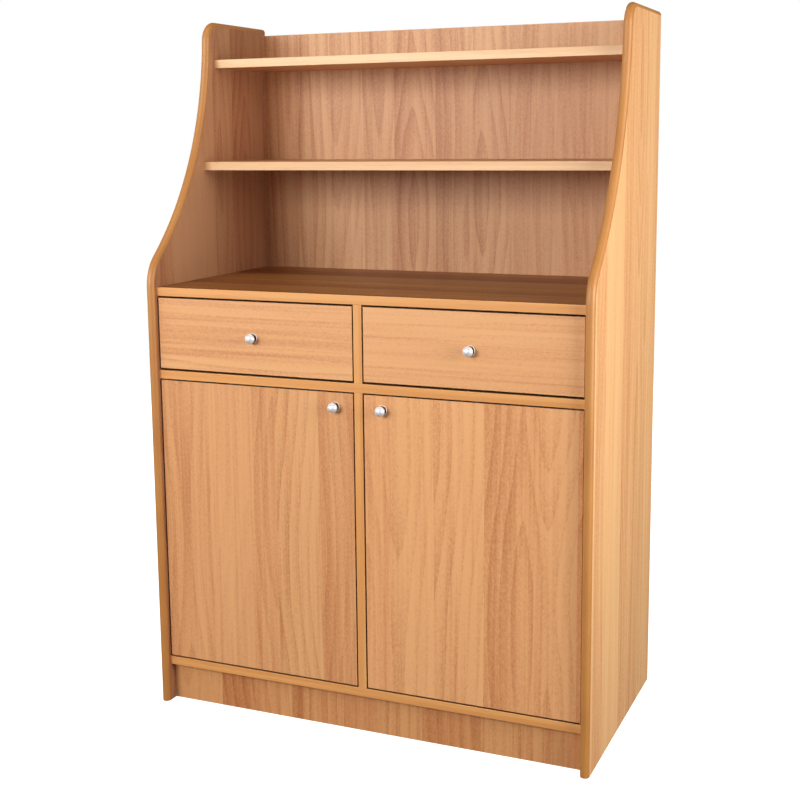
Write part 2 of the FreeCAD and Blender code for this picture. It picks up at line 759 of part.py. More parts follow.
side_floor_groove = box((side_inner_x - box_groove, fronts_rear, groove_low),
                        (side_inner_x, box_rear, groove_high))
front_tools = [box((side_inner_x - box_groove, fronts_rear - box_groove, groove_low),
                   (inner_side_face + box_groove, fronts_rear, groove_high))]
back_tools = []
drawer_dowels = []
for rise in (box_joint_low, box_joint_high):
    z = box_low + rise
    start = (side_x + box_board / 2, fronts_rear, z)
    in_front = (side_x + box_board / 2, fronts_rear - dowel_in_face, z)
    drawer_dowels.append(cylinder(small_dowel_radius, dowel_in_face + dowel_in_end, in_front, Y_AXIS))
    side_bores.append(cylinder(small_dowel_radius + joint_gap, dowel_in_end + hole_end, start, Y_AXIS))
    front_bore = cylinder(small_dowel_radius + joint_gap, dowel_in_face + hole_end, start, -Y_AXIS)
    front_tools += at_both_walls(front_bore)
    seat = (side_x + screw_head, box_rear - box_board / 2, z)
    shank = box_board * 2
    drawer_screws.append(screw(seat, X_AXIS, screw_radius, shank, screw_head_radius, screw_head))
    side_bores.append(cylinder(screw_head_radius + joint_gap, screw_head, seat, -X_AXIS))
    screw_hole = cylinder(screw_radius + joint_gap, shank + joint_gap, seat, X_AXIS)
    side_bores.append(screw_hole)
    back_tools += at_both_walls(screw_hole)

side_board = box((side_x, fronts_rear, box_low), (side_inner_x, box_rear, box_top))
outer_side = node(cut(side_board, side_bores + [side_floor_groove]), "left_drawer_outer_side")
node(mirrored(outer_side), "right_drawer_outer_side")
inner_side = node(mirrored(outer_side, -bay_middle), "left_drawer_inner_side")
node(mirrored(inner_side), "right_drawer_inner_side")
back_board = box((side_inner_x, box_rear - box_board, floor_high), (inner_side_face, box_rear, box_top))
drawer_back = node(cut(back_board, back_tools), "left_drawer_back")
node(mirrored(drawer_back), "right_drawer_back")
drawer_floor = node(box((side_inner_x - floor_reach, fronts_rear - floor_reach, floor_low),
                        (inner_side_face + floor_reach, box_rear, floor_high)), "left_drawer_floor")
node(mirrored(drawer_floor), "right_drawer_floor")
dowel_set = [piece for item in drawer_dowels for piece in at_both_walls(item)]
screw_set = [piece for item in drawer_screws for piece in at_both_walls(item)]
node(mirrored(node(group(dowel_set), "left_drawer_dowels")), "right_drawer_dowels")
node(mirrored(node(group(screw_set), "left_drawer_screws")), "right_drawer_screws")


# --- knobs --------------------------------------------------------------------------------------

def knob(x, z, label):
    """A turned knob on a front, with its screw from behind. Gives the front's bore back."""
    body = new_body("knob", (x, front, z))
    sketch = new_sketch(body, "XY_Plane")
    bore = knob_screw_radius + joint_gap
    flare = knob_cap_start - knob_base_thickness
    neck_end = knob_base_thickness + flare / 2
    points = [(bore, 0), (knob_base_radius, 0), (knob_base_radius, knob_base_thickness / 2),
              (knob_neck_radius, knob_base_thickness), (knob_neck_radius, neck_end),
              (knob_cap_radius, knob_cap_start), (knob_cap_radius, knob_rim_end),
              (knob_flat_radius, knob_projection), (0, knob_projection),
              (0, knob_screw_reach + hole_end), (bore, knob_screw_reach + hole_end)]
    draw(sketch, points, {4: (knob_cap_radius, False), 6: (knob_dome_radius, True)}, True)
    doc.recompute()
    turned = body.newObject("PartDesign::Revolution", unique("turned"))
    turned.Profile = sketch
    turned.ReferenceAxis = (sketch, ["V_Axis"])
    turned.Angle = 360
    body.Tip = turned
    node(mirrored(node(body, "left_" + label)), "right_" + label)
    seat = (x, fronts_rear, z)
    reach = board + knob_screw_reach
    fixing = screw(seat, -Y_AXIS, knob_screw_radius, reach, knob_screw_radius * 2, screw_head)
    node(mirrored(node(fixing, "left_" + label + "_screw")), "right_" + label + "_screw")
    return cylinder(knob_screw_radius + joint_gap, board, seat, -Y_AXIS)


front_tools.append(knob(-bay_middle, (drawer_low + drawer_high) / 2, "drawer_knob"))
front_edge_x = -divider_face - side_gap
front_board = box((at_wall(side_gap), front, drawer_low), (front_edge_x, fronts_rear, drawer_high))
node(mirrored(node(cut(front_board, front_tools), "left_drawer_front")), "right_drawer_front")


# --- doors --------------------------------------------------------------------------------------

door_tools = top_door_bores + low_door_bores
door_tools.append(knob(front_edge_x - door_knob_inset, door_top - door_knob_drop, "door_knob"))
door_board = box((at_wall(side_gap), front, door_low), (front_edge_x, fronts_rear, door_top))
node(mirrored(node(cut(door_board, door_tools), "left_door")), "right_door")
node(mirrored(node(group([top_pin, low_pin]), "left_door_pivots")), "right_door_pivots")

catch_high_x = -divider_face - catch_from_divider
catch_low_x = catch_high_x - catch_length
catch_y = fronts_rear + strike_thickness + running_gap
catch_low = middle_under - catch_height
recess = catch_height / 4
catch_body = cut(
    box((catch_low_x, catch_y, catch_low), (catch_high_x, catch_y + catch_depth, middle_under)),
    [box((catch_low_x + recess, catch_y, catch_low + recess),
         (catch_high_x - recess, catch_y + strike_thickness, middle_under - recess))])
node(group(both_sides([catch_body])), "door_catches")
strike = node(box((catch_low_x, fronts_rear, catch_low),
                  (catch_high_x, fronts_rear + strike_thickness, catch_low + strike_height - door_gap_top)),
              "left_door_strike")
node(mirrored(strike), "right_door_strike")


# --- dividers and sides, with every bore that the other pieces need -----------------------------

wall_tools = fuse(divider_tools)
upper_divider = box((-divider_face, front, middle_top), (divider_face, sheet_front, worktop_under))
upper_bores = [pair[0] for pair in under_worktop + over_middle]
node(cut(upper_divider, upper_bores + [wall_tools, mirrored(wall_tools)]), "upper_divider")
lower_divider = box((-divider_face, front, bottom_top), (divider_face, sheet_front, middle_under))
lower_bores = [pair[0] for pair in under_middle + over_bottom]
node(cut(lower_divider, lower_bores + [wall_tools, mirrored(wall_tools)]), "lower_divider")
left_side = node(cut(side_slab(nose_radius, board, 0), side_tools), "left_side_panel")
node(mirrored(left_side), "right_side_panel")

node(group(both_sides(cams)), "cam_discs")
node(group(both_sides(bolts)), "cam_bolts")
node(group(both_sides(dowels) + dowels_upright), "dowels")


# --- check and write ----------------------------------------------------------------------------

doc.recompute()
faults = [item.Label for item in doc.Objects if "Invalid" in item.State or "Error" in item.State]
for piece in nodes:
    if piece.Shape.isNull() or not piece.Shape.isValid() or not piece.Shape.Solids:
        faults.append(piece.Label)
if faults:
    raise RuntimeError("failed pieces: " + ", ".join(faults))

os.makedirs("parts", exist_ok=True)
for piece in nodes:
    piece.Shape.exportStep(os.path.join("parts", piece.Label + ".step"))
print("wrote", len(nodes), "sub-parts")
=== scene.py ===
import math

import bpy
from mathutils import Matrix, Vector


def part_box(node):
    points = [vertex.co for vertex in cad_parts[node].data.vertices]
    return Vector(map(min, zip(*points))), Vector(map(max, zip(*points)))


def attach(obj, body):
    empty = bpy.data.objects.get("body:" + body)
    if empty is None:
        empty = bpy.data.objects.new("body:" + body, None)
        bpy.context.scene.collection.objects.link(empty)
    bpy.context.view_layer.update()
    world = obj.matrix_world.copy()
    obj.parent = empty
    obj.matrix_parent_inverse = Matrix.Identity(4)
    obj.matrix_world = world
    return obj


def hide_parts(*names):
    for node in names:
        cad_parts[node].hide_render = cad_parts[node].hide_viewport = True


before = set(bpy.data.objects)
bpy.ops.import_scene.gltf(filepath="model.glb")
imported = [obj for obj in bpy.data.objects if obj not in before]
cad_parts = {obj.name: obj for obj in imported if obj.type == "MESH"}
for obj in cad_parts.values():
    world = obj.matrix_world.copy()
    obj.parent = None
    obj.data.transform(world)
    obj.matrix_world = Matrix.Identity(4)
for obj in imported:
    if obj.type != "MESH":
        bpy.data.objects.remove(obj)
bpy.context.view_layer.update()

# The waiter service station's looks. Metres, +Z up, the front faces -Y.
# Boards get their edge bands and softened corners, knobs and edge profiles are modelled anew,
# and the fittings inside keep their own shapes under better finishes.

MM = 0.001


def srgb(red, green, blue):
    """A screen colour, 0 to 255, as the linear colour that the shaders take."""
    shares = [value / 255 for value in (red, green, blue)]
    return tuple(s / 12.92 if s <= 0.04045 else ((s + 0.055) / 1.055) ** 2.4 for s in shares)


# --- shader building ----------------------------------------------------------------------------

class Wire:
    """A value that varies over the surface. Arithmetic on it adds Math nodes."""

    def __init__(self, finish, socket):
        self.finish = finish
        self.socket = socket

    def math(self, operation, *values):
        return self.finish.add("ShaderNodeMath", {"operation": operation}, dict(enumerate(values)))

    def __add__(self, other):
        return self.math("ADD", self, other)

    def __radd__(self, other):
        return self.math("ADD", other, self)

    def __sub__(self, other):
        return self.math("SUBTRACT", self, other)

    def __rsub__(self, other):
        return self.math("SUBTRACT", other, self)

    def __mul__(self, other):
        return self.math("MULTIPLY", self, other)

    def __rmul__(self, other):
        return self.math("MULTIPLY", other, self)

    def __pow__(self, other):
        return self.math("POWER", self, other)

    def fraction(self):
        return self.math("FRACT", self)

    def ramp(self, low, high):
        """0 at low and 1 at high, smooth in between. Sockets 1 and 2 are From Min and From Max."""
        settings = {"interpolation_type": "SMOOTHSTEP"}
        return self.finish.add("ShaderNodeMapRange", settings, {"Value": self, 1: low, 2: high})


class Finish:
    """One material, built around its Principled shader."""

    def __init__(self, name, **constants):
        self.material = bpy.data.materials.new(name)
        self.material.use_nodes = True
        self.tree = self.material.node_tree
        self.shader = self.tree.nodes["Principled BSDF"]
        for socket, value in constants.items():
            self.set(socket.replace("_", " "), value)

    def put(self, socket, value):
        """Link a wire to a socket, or set its constant. A colour given without alpha is opaque."""
        if isinstance(value, Wire):
            self.tree.links.new(value.socket, socket)
        elif hasattr(socket.default_value, "__len__") and len(value) < len(socket.default_value):
            socket.default_value = tuple(value) + (1.0,)
        else:
            socket.default_value = value

    def set(self, socket, value):
        self.put(self.shader.inputs[socket], value)

    def add(self, kind, settings, inputs, output=0):
        """Any node: its settings first, then the values or links of its sockets."""
        node = self.tree.nodes.new(kind)
        for setting, value in settings.items():
            setattr(node, setting, value)
        for socket, value in inputs.items():
            self.put(node.inputs[socket], value)
        return Wire(self, node.outputs[output])

    def place(self):
        """The object's own x, y and z in metres."""
        position = self.add("ShaderNodeTexCoord", {}, {}, output="Object")
        parts = self.add("ShaderNodeSeparateXYZ", {}, {0: position}).socket.node.outputs
        return {axis: Wire(self, parts[axis.upper()]) for axis in "xyz"}

    def point(self, x, y, z):
        return self.add("ShaderNodeCombineXYZ", {}, {0: x, 1: y, 2: z})

    def noise(self, x, y, z, detail=2.0, roughness=0.5):
        values = {"Vector": self.point(x, y, z), "Scale": 1.0, "Detail": detail, "Roughness": roughness}
        return self.add("ShaderNodeTexNoise", {}, values)

    def mix(self, factor, low, high, blend="MIX"):
        """Two colours mixed. Sockets 6 and 7 and output 2 are the node's colours."""
        settings = {"data_type": "RGBA", "blend_type": blend}
        return self.add("ShaderNodeMix", settings, {0: factor, 6: low, 7: high}, output=2)

    def bump(self, height, strength, distance):
        self.set("Normal", self.add("ShaderNodeBump", {}, {
            "Height": height, "Strength": strength, "Distance": distance}))


# --- finishes -----------------------------------------------------------------------------------

# The laminate's print: honey and rose wood, its darker late wood and its veins.
HONEY_WOOD = srgb(233, 176, 123)
ROSE_WOOD = srgb(228, 165, 115)
LATE_WOOD = srgb(184, 114, 66)
VEIN = srgb(146, 84, 52)
LEAVES_PER_METRE = 11
ARCHES_PER_LEAF = 4.0
GRAIN_SWAY = 14 * MM
RING_END = (0.94, 1.0)
BOARD_FIGURE = 1.0


def laminate(name, across, along, shift, tone, figure=BOARD_FIGURE):
    """Printed wood grain. across and along are axes. shift gives each board its own cut of the print,
    tone a colour that the print is multiplied by, which on some boards is painted shade or sheen,
    and figure is the strength of its broad markings."""
    finish = Finish(name, Specular_IOR_Level=0.32)
    place = finish.place()
    u = place[across] + shift
    w = place[along] + shift * 3
    sway = finish.noise(u * 2, w * 1.1, shift) - 0.5
    straight = u + sway * GRAIN_SWAY

    def grain(scale_across, scale_along, cut, **settings):
        """Noise drawn out along the grain, from its own part of the pattern."""
        return finish.noise(straight * scale_across, w * scale_along, shift + cut, **settings)

    # veneer leaves side by side, each cut from another place and shaded across its width
    leaf_place = straight * LEAVES_PER_METRE
    leaf = finish.add("ShaderNodeTexVoronoi", {"voronoi_dimensions": "1D"},
                      {"W": leaf_place, "Scale": 1.0}, output="W")
    leaf_tone = (leaf * 7.31 + shift).fraction()
    leaf_cut = (leaf * 3.17).fraction()
    from_middle = leaf_place - leaf
    leaf_shade = (0.5 - from_middle).ramp(0.0, 1.3) * leaf_cut.ramp(0.1, 0.8)

    # growth rings: arches one inside the other along each leaf, sharp on one side as late wood is
    from_heart = from_middle - (leaf_tone - 0.5) * 1.1
    arch = (from_heart * from_heart + 0.012) ** 0.5
    climb = finish.noise(leaf * 3.0, w * 1.5, shift, detail=0.0) * 7
    waver = grain(60, 4, 2, detail=1.0) * 0.4
    rings = (arch * ARCHES_PER_LEAF + climb + waver).fraction()
    before_end = 1 - rings.ramp(*RING_END)
    late_wood = rings.ramp(0.15, 1.0) * before_end * (0.25 + leaf_cut)
    ring_line = rings.ramp(0.78, 0.93) * before_end * (0.2 + leaf_cut * 0.8)

    # fibres from broad to fine, and short pores along the grain
    broad = grain(38, 1.4, 4)
    streaks = grain(200, 2.4, 9, detail=1.0)
    fibres = grain(330, 170, 17, detail=4.0, roughness=0.7)
    pores = grain(620, 150, 23, detail=1.0).ramp(0.58, 0.72)

    # how much each marking darkens the print, and then its colour
    broad_marks = (leaf_tone - 0.5) * 0.22 + leaf_shade * 0.36 + (broad - 0.5) * 0.46
    fine_marks = late_wood * 0.26 + ring_line * 0.04 + (streaks - 0.5) * 0.40 + (fibres - 0.5) * 1.05
    darkness = broad_marks * figure + fine_marks + 0.20
    rosiness = (broad - 0.5) * 0.8 + (streaks - 0.5) * 0.8 + leaf_tone * 0.5 + 0.25
    colour = finish.mix(rosiness.ramp(0.1, 0.9), HONEY_WOOD, ROSE_WOOD)
    colour = finish.mix(darkness.ramp(0.05, 1.15), colour, LATE_WOOD)
    vein_line = streaks.ramp(0.60, 0.78) * broad.ramp(0.48, 0.66)
    colour = finish.mix(vein_line * 0.10, colour, VEIN)
    colour = finish.mix(pores * 0.08, colour, LATE_WOOD)
    finish.set("Base Color", finish.mix(1.0, colour, tone, blend="MULTIPLY"))
    finish.set("Roughness", 0.44 + (fibres - 0.5) * 0.10 + pores * 0.08)
    finish.bump(fibres * 0.5 - pores * 0.4, strength=0.14, distance=0.08 * MM)
    return finish.material


# An edge band's colours: its ground, its darker figure and its flecks.
WARM_BAND = (srgb(234, 168, 100), srgb(220, 150, 84), srgb(184, 116, 62))
PALE_BAND = (srgb(235, 189, 139), srgb(223, 174, 122), srgb(184, 116, 62))
# a near-black band: painted shade of the gaps round the doors and drawer fronts
GAP_SHADE_BAND = (srgb(106, 68, 40), srgb(94, 60, 34), srgb(76, 48, 28))


def edge_band(name, along, shift, colours):
    """The plain band glued on a board's edge: one tone with a faint lengthwise figure."""
    light, dark, fleck = colours
    finish = Finish(name, Specular_IOR_Level=0.45)
    place = finish.place()
    broad = {axis: 1.5 if axis == along else 70 for axis in "xyz"}
    thin = {axis: 18 if axis == along else 840 for axis in "xyz"}
    soft = finish.noise(place["x"] * broad["x"] + shift, place["y"] * broad["y"],
                        place["z"] * broad["z"])
    fine = finish.noise(place["x"] * thin["x"], place["y"] * thin["y"],
                        place["z"] * thin["z"] + shift)
    colour = finish.mix(soft.ramp(0.3, 0.7), light, dark)
    finish.set("Base Color", finish.mix(fine.ramp(0.55, 0.8) * 0.5, colour, fleck))
    finish.set("Roughness", 0.38 + (fine - 0.5) * 0.1)
    finish.bump(fine, strength=0.15, distance=0.05 * MM)
    return finish.material


def profile_plastic():
    """The rounded edge profile: satin extruded plastic with faint draw lines."""
    finish = Finish("edge_profile_plastic", Coat_Weight=0.4, Coat_Roughness=0.46,
                    Specular_IOR_Level=0.4)
    place = finish.place()
    cloud = finish.noise(place["x"] * 9, place["y"] * 9, place["z"] * 9)
    lines = finish.noise(place["x"] * 500, place["y"] * 5, place["z"] * 5)
    colour = finish.mix(cloud.ramp(0.3, 0.7), srgb(192, 130, 63), srgb(184, 120, 55))
    colour = finish.mix(lines.ramp(0.5, 0.8) * 0.3, colour, srgb(166, 104, 46))
    finish.set("Base Color", colour)
    finish.set("Roughness", 0.48 + (cloud - 0.5) * 0.08)
    finish.bump(lines, strength=0.05, distance=0.03 * MM)
    return finish.material


def plated_metal(name, colour, roughness, grain, metallic=1.0):
    """Plated metal, faintly cloudy in colour and gloss. grain is the scale of its fine lines."""
    finish = Finish(name, Metallic=metallic)
    place = finish.place()
    cloud = finish.noise(place["x"] * 140, place["y"] * 140, place["z"] * 140, detail=3.0)
    fine = finish.noise(place["x"] * grain, place["y"] * grain * 0.15, place["z"] * grain, detail=2.0)
    finish.set("Base Color", finish.mix(cloud.ramp(0.3, 0.7), colour, tuple(c * 0.88 for c in colour)))
    finish.set("Roughness", roughness + (cloud - 0.5) * 0.08 + (fine - 0.5) * 0.06)
    finish.bump(fine, strength=0.08, distance=0.02 * MM)
    return finish.material


def plain_board(name, colour, speck, scale):
    """A plain surface with fine specks, as on melamine, fibreboard, moulded plastic or painted steel.

    scale is that of the specks.
    """
    finish = Finish(name)
    place = finish.place()
    cloud = finish.noise(place["x"] * 14, place["y"] * 14, place["z"] * 14)
    fine = finish.noise(place["x"] * scale, place["y"] * scale, place["z"] * scale, detail=3.0)
    base = finish.mix(cloud.ramp(0.25, 0.75), colour, tuple(c * 0.93 for c in colour))
    finish.set("Base Color", finish.mix(fine.ramp(0.55, 0.75) * 0.5, base, speck))
    finish.set("Roughness", 0.5 + (fine - 0.5) * 0.15)
    finish.bump(fine, strength=0.1, distance=0.08 * MM)
    return finish.material


def beech():
    """Turned beech dowel: pale, with fine flecks drawn out along x."""
    finish = Finish("beech_dowel")
    place = finish.place()
    flecks = finish.noise(place["x"] * 60, place["y"] * 900, place["z"] * 900, detail=2.0)
    colour = finish.mix(flecks.ramp(0.4, 0.7), srgb(226, 190, 146), srgb(196, 152, 106))
    finish.set("Base Color", colour)
    finish.set("Roughness", 0.6 + (flecks - 0.5) * 0.1)
    finish.bump(flecks, strength=0.2, distance=0.1 * MM)
    return finish.material


upright_band = edge_band("upright_edge_band", "z", 0.0, WARM_BAND)
level_band = edge_band("level_edge_band", "x", 3.7, WARM_BAND)
hutch_band = edge_band("hutch_edge_band", "x", 7.1, PALE_BAND)
# the doors' and drawer fronts' edges, painted dark as the shade in the gaps between them
front_edge_band = edge_band("front_edge_band", "z", 5.2, GAP_SHADE_BAND)
profile_finish = profile_plastic()
knob_finish = plated_metal("knob_satin_nickel", srgb(240, 241, 242), roughness=0.50, grain=2400,
                           metallic=0.5)
# a dark grey for the knob's neck: painted shade of the hollow between base and cap
recess_shade_finish = plated_metal("knob_recess", srgb(96, 84, 76), roughness=0.5, grain=2400, metallic=0.5)
zinc = plated_metal("zinc_plated_steel", srgb(200, 202, 204), roughness=0.34, grain=1500)
runner_paint = plain_board("runner_white_epoxy", srgb(226, 226, 222), srgb(206, 206, 202), scale=2600)
nylon = plain_board("white_nylon", srgb(232, 232, 228), srgb(214, 214, 210), scale=1800)
box_board = plain_board("drawer_box_melamine", srgb(226, 214, 194), srgb(204, 190, 168), scale=1500)
fibreboard = plain_board("brown_fibreboard", srgb(150, 108, 74), srgb(116, 80, 52), scale=1300)
# dark brown nylon for the pivot bushes: painted shade, so they sit dark in the gap under the doors
shaded_brown_nylon = plain_board("shaded_brown_nylon", srgb(92, 60, 38), srgb(74, 46, 28), scale=1800)
dowel_beech = beech()


# --- modelling ----------------------------------------------------------------------------------

# the quarter round on a board's outer edges, and the share of it by which an edge moves in
SOFT_EDGE = 0.8 * MM
ROUND_IN = 1 - math.sqrt(0.5)

# a side of a board as its axis, and 0 for the low end or 1 for the high end
SIDES = {"-x": (0, 0), "+x": (0, 1), "-y": (1, 0), "+y": (1, 1), "-z": (2, 0), "+z": (2, 1)}

# a point this close to a plane lies on it
ON_PLANE = 0.02 * MM

# points this close together become one
MERGE_WITHIN = 0.001 * MM

# a face is flat when its normal has more than this share along one axis
FLAT_SHARE = 0.9999

# edges are shaded smooth below these angles, in degrees
BOARD_SMOOTHING = 50
PROFILE_SMOOTHING = 40
KNOB_SMOOTHING = 35


def take(piece):
    """Select one object alone and make it active."""
    if bpy.context.object and bpy.context.object.mode != "OBJECT":
        bpy.ops.object.mode_set(mode="OBJECT")
    bpy.ops.object.select_all(action="DESELECT")
    piece.select_set(True)
    bpy.context.view_layer.objects.active = piece


def edit(piece, kind="VERT"):
    take(piece)
    bpy.ops.object.mode_set(mode="EDIT")
    bpy.ops.mesh.select_mode(type=kind)


def leave():
    bpy.ops.object.mode_set(mode="OBJECT")


def pick(piece, wanted):
    """Go into edit mode with only the vertices selected whose place is wanted."""
    edit(piece)
    bpy.ops.mesh.select_all(action="DESELECT")
    leave()
    for vertex in piece.data.vertices:
        vertex.select = wanted(vertex.co)
    edit(piece)


def settle(piece, angle):
    """Put a finished piece's place into its mesh and smooth its edges below an angle in degrees."""
    take(piece)
    bpy.ops.object.transform_apply(location=True, rotation=True, scale=True)
    bpy.ops.object.shade_smooth_by_angle(angle=math.radians(angle))
    weighted = piece.modifiers.new("weighted", "WEIGHTED_NORMAL")
    weighted.keep_sharp = True
    weighted.use_face_influence = True
    bpy.ops.object.modifier_apply(modifier=weighted.name)


def copied(node, name):
    """A copy of a node with its loose triangles joined up."""
    piece = bpy.data.objects.new(name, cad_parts[node].data.copy())
    bpy.context.scene.collection.objects.link(piece)
    piece.data.materials.clear()
    take(piece)
    bpy.ops.mesh.customdata_custom_splitnormals_clear()
    edit(piece)
    bpy.ops.mesh.select_all(action="SELECT")
    bpy.ops.mesh.remove_doubles(threshold=MERGE_WITHIN)
    leave()
    return piece


def side_planes(piece, sides):
    """The named sides of the piece's box, as (axis, place, inward sign)."""
    planes = []
    for side in sides:
        axis, end = SIDES[side]
        values = [vertex.co[axis] for vertex in piece.data.vertices]
        planes.append((axis, max(values) if end else min(values), -1 if end else 1))
    return planes


def cut_inside(piece, plane, depth):
    """Cut a line all round the piece, at a depth behind one of its sides."""
    axis, place, inward = plane
    cut_at = Vector((0, 0, 0))
    cut_at[axis] = place + inward * depth
    normal = Vector((0, 0, 0))
    normal[axis] = 1
    edit(piece)
    bpy.ops.mesh.select_all(action="SELECT")
    bpy.ops.mesh.bisect(plane_co=cut_at, plane_no=normal)
    leave()


def clear_strips(piece, planes):
    """Between the cut lines and the outer edges, leave no slanting edges."""
    mesh = piece.data
    levels = [(axis, place) for axis, place, _ in side_planes(piece, SIDES)]
    levels += [(axis, place + inward * SOFT_EDGE) for axis, place, inward in planes]
    edit(piece, "EDGE")
    bpy.ops.mesh.select_all(action="DESELECT")
    leave()
    for edge in mesh.edges:
        ends = [mesh.vertices[index].co for index in edge.vertices]
        close = [plane for plane in planes
                 if all(abs(end[plane[0]] - plane[1]) < SOFT_EDGE + ON_PLANE for end in ends)]
        along = [level for level in levels
                 if all(abs(end[level[0]] - level[1]) < ON_PLANE for end in ends)]
        edge.select = len(close) > 1 and len(along) == 1
    edit(piece, "EDGE")
    bpy.ops.mesh.dissolve_edges(use_verts=True)
    leave()


def softened(piece, sides):
    """Round the outer edges where two of the named sides meet."""
    planes = side_planes(piece, sides)
    for plane in planes:
        cut_inside(piece, plane, SOFT_EDGE)
    clear_strips(piece, planes)
    corners = [[axis for axis, place, _ in planes if abs(vertex.co[axis] - place) < ON_PLANE]
               for vertex in piece.data.vertices]
    places = [vertex.co.copy() for vertex in piece.data.vertices]
    for axis, place, inward in planes:
        edit(piece)
        bpy.ops.mesh.select_all(action="DESELECT")
        leave()
        for vertex, met, old in zip(piece.data.vertices, corners, places):
            vertex.select = len(met) > 1 and abs(old[axis] - place) < ON_PLANE
        edit(piece)
        move = Vector((0, 0, 0))
        move[axis] = inward * SOFT_EDGE * ROUND_IN
        bpy.ops.transform.translate(value=move)
        leave()


def faced(piece, finish, sides, depth):
    """Give the faces on the named sides, down to a depth behind them, their own finish."""
    piece.data.materials.append(finish)
    planes = side_planes(piece, sides)
    for face in piece.data.polygons:
        if any(abs(face.center[axis] - place) < depth for axis, place, _ in planes):
            face.material_index = len(piece.data.materials) - 1


def favour_flat(piece):
    """Let the flat faces alone decide the shading at their borders."""
    edit(piece, "FACE")
    bpy.ops.mesh.select_all(action="DESELECT")
    leave()
    for face in piece.data.polygons:
        face.select = max(abs(share) for share in face.normal) > FLAT_SHARE
    edit(piece, "FACE")
    bpy.ops.mesh.mod_weighted_strength(set=True, face_strength="STRONG")
    leave()


def board(node, body, finish, soft=(), others=()):
    """A laminated board in place of its node.

    soft: the sides whose shared edges are softened.
    others: (finish, sides, depth) for the sides that look different, down to a depth behind them.
    """
    piece = copied(node, node + "_board")
    piece.data.materials.append(finish)
    softened(piece, soft)
    for other, sides, depth in others:
        faced(piece, other, sides, depth)
    favour_flat(piece)
    settle(piece, BOARD_SMOOTHING)
    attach(piece, body)
    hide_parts(node)


def paint(names, finish):
    """A better finish for nodes that keep their own shape."""
    for name in names:
        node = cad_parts[name]
        node.data.materials.clear()
        node.data.materials.append(finish)


# --- carcass ------------------------------------------------------------------------------------

FRONT_EDGES = ["-y", "-z", "+z"]
ALL_EDGES = ["-x", "+x", "-y", "+y", "-z", "+z"]

# a band reaches round the softened edge, nearly to its inner line
BAND_WRAP = SOFT_EDGE * 0.98

# the hutch's boards darkened, with the blue lifted: painted shade of the recess under the shelves, and
# a paler hue
HUTCH_SHADE_TONE = (0.87, 0.94, 1.03)
# the worktop darkened: painted shade of the light that only grazes it under the shelves
WORKTOP_SHADE_TONE = (0.48, 0.385, 0.22)
# the plinth darker and warmer: painted shade low down by the floor
PLINTH_SHADE_TONE = (0.88, 0.79, 0.68)
# the side panels' outer faces paler in green and blue: painted sheen of light glancing off them
OUTER_SHEEN_TONE = (1.01, 1.09, 1.04)
# the side panels' inner faces darkened: painted shade, a shaded copy of the outer print
INNER_SHADE_TONE = (0.60, 0.57, 0.62)
DRAWER_TONE = (1.0, 0.97, 0.93)
# the left door a little darker than the right: painted shade
LEFT_DOOR_SHADE_TONE = (0.95, 0.91, 0.85)
RIGHT_DOOR_TONE = (1.03, 0.98, 0.92)
# the faces inside the bays darkened: painted shade of the cabinet's inside
INSIDE_SHADE_TONE = (0.36, 0.31, 0.28)
WORKTOP_FIGURE = 2.4

# the insides of the bays, the dividers and the inner shelves take a darkened print: painted shade
shaded_inside_level = laminate("inside_level_print", "y", "x", shift=21.4, tone=INSIDE_SHADE_TONE)
shaded_inside_upright = laminate("inside_upright_print", "y", "z", shift=24.8, tone=INSIDE_SHADE_TONE)

for level, shift, band, tone, others in (
        ("worktop", 1.3, level_band, WORKTOP_SHADE_TONE, [(shaded_inside_level, ["-z"], ON_PLANE)]),
        ("middle_panel", 2.9, level_band, DRAWER_TONE, [(shaded_inside_level, ["-z", "+z"], ON_PLANE)]),
        ("bottom_panel", 4.1, level_band, DRAWER_TONE, [(shaded_inside_level, ["+z"], ON_PLANE)]),
        ("lower_hutch_shelf", 5.7, hutch_band, HUTCH_SHADE_TONE, []),
        ("upper_hutch_shelf", 6.4, hutch_band, HUTCH_SHADE_TONE, [])):
    figure = WORKTOP_FIGURE if level == "worktop" else BOARD_FIGURE
    level_print = laminate(level + "_print", "y", "x", shift, tone, figure)
    board(level, "cabinet", level_print, FRONT_EDGES, others + [(band, ["-y"], BAND_WRAP)])
board("hutch_back", "cabinet", laminate("hutch_back_print", "x", "z", shift=8.2, tone=HUTCH_SHADE_TONE),
      ["+z", "-y", "+y"], [(level_band, ["+z"], BAND_WRAP)])
# the plinth's print is darkened as painted shade
board("plinth", "cabinet", laminate("plinth_print", "x", "z", shift=9.6, tone=PLINTH_SHADE_TONE))
for divider in ("upper_divider", "lower_divider"):
    board(divider, "cabinet", shaded_inside_upright, ["-y", "-x", "+x"],
          [(upright_band, ["-y"], BAND_WRAP)])
for side, outer_shift, inner_shift, inner_side in (("left", 22.7, 22.2, "+x"),
                                                   ("right", 25.3, 24.8, "-x")):
    board(side + "_inner_shelf", "cabinet", shaded_inside_level, FRONT_EDGES,
          [(level_band, ["-y"], BAND_WRAP)])
    # the outer faces' print is paled as painted sheen
    outer_sheen_print = laminate(side + "_outer_print", "y", "z", outer_shift, OUTER_SHEEN_TONE)
    # the inner faces' print is darkened as painted shade
    inner_shade_print = laminate(side + "_inner_print", "y", "z", inner_shift, INNER_SHADE_TONE)
    board(side + "_side_panel", "cabinet", outer_sheen_print, ["+y", "-x", "+x"],
          [(inner_shade_print, [inner_side], ON_PLANE), (upright_band, ["+y"], BAND_WRAP)])


# --- rounded edge profiles ----------------------------------------------------------------------

# the section's radius, and the radii of the shoulder and of the corner at the top
NOSE = 9 * MM
SHOULDER = 86 * MM
CORNER = 42 * MM
TOP_DEPTH = 254 * MM

